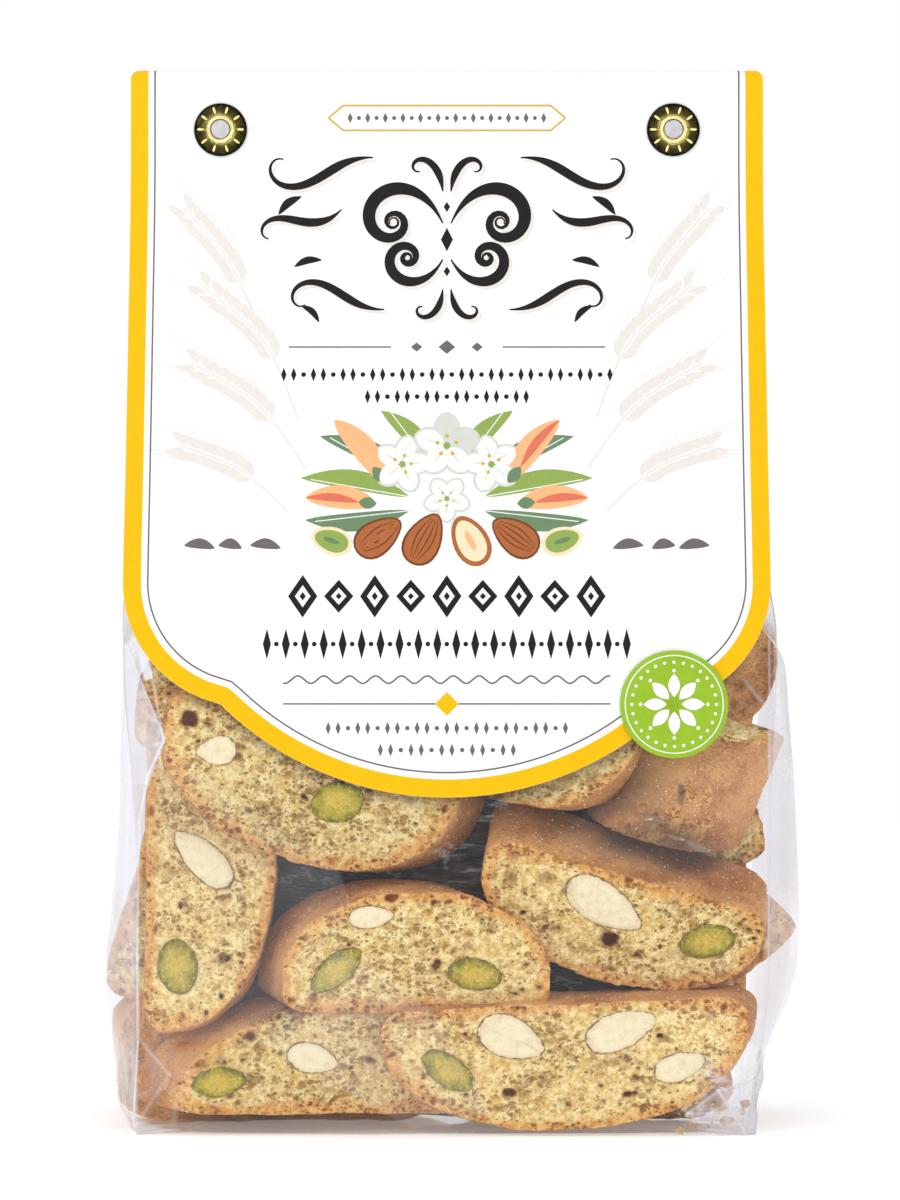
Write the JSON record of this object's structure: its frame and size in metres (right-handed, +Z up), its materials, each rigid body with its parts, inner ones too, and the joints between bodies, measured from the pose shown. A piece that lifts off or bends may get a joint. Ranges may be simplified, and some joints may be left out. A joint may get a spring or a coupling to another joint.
{
  "type": "bag of biscotti",
  "caption": "Clear gusseted bag of almond and pistachio biscotti, standing on its block bottom under a riveted white header card with a round green seal.",
  "frame": {"origin": "middle of the pack's bounding box at the level that it stands on", "axes": "+Z up through the header card's fold, +X to the right of the front, +Y from the front to the back"},
  "size_m": [0.151, 0.0612, 0.228],
  "materials": {
    "film": "clear film over pale golden biscuits",
    "card": "smooth coated white card with a yellow printed border",
    "brass": "pressed brass, darkened between bright ribs",
    "pin_metal": "satin aluminium",
    "seal_paper": "green printed sticker with white print",
    "crumb": "porous golden crumb under a browned, sugared crust",
    "almond": "cut almond with a thin brown skin",
    "pistachio": "cut pistachio kernel with a darker green rim"
  },
  "bodies": {
    "root": {"bag": "film", "header_card": "card", "rivet_cap_left": "brass", "rivet_cap_right": "brass", "rivet_pin_left": "pin_metal", "rivet_pin_right": "pin_metal", "seal": "seal_paper"}
  },
  "joints": []
}
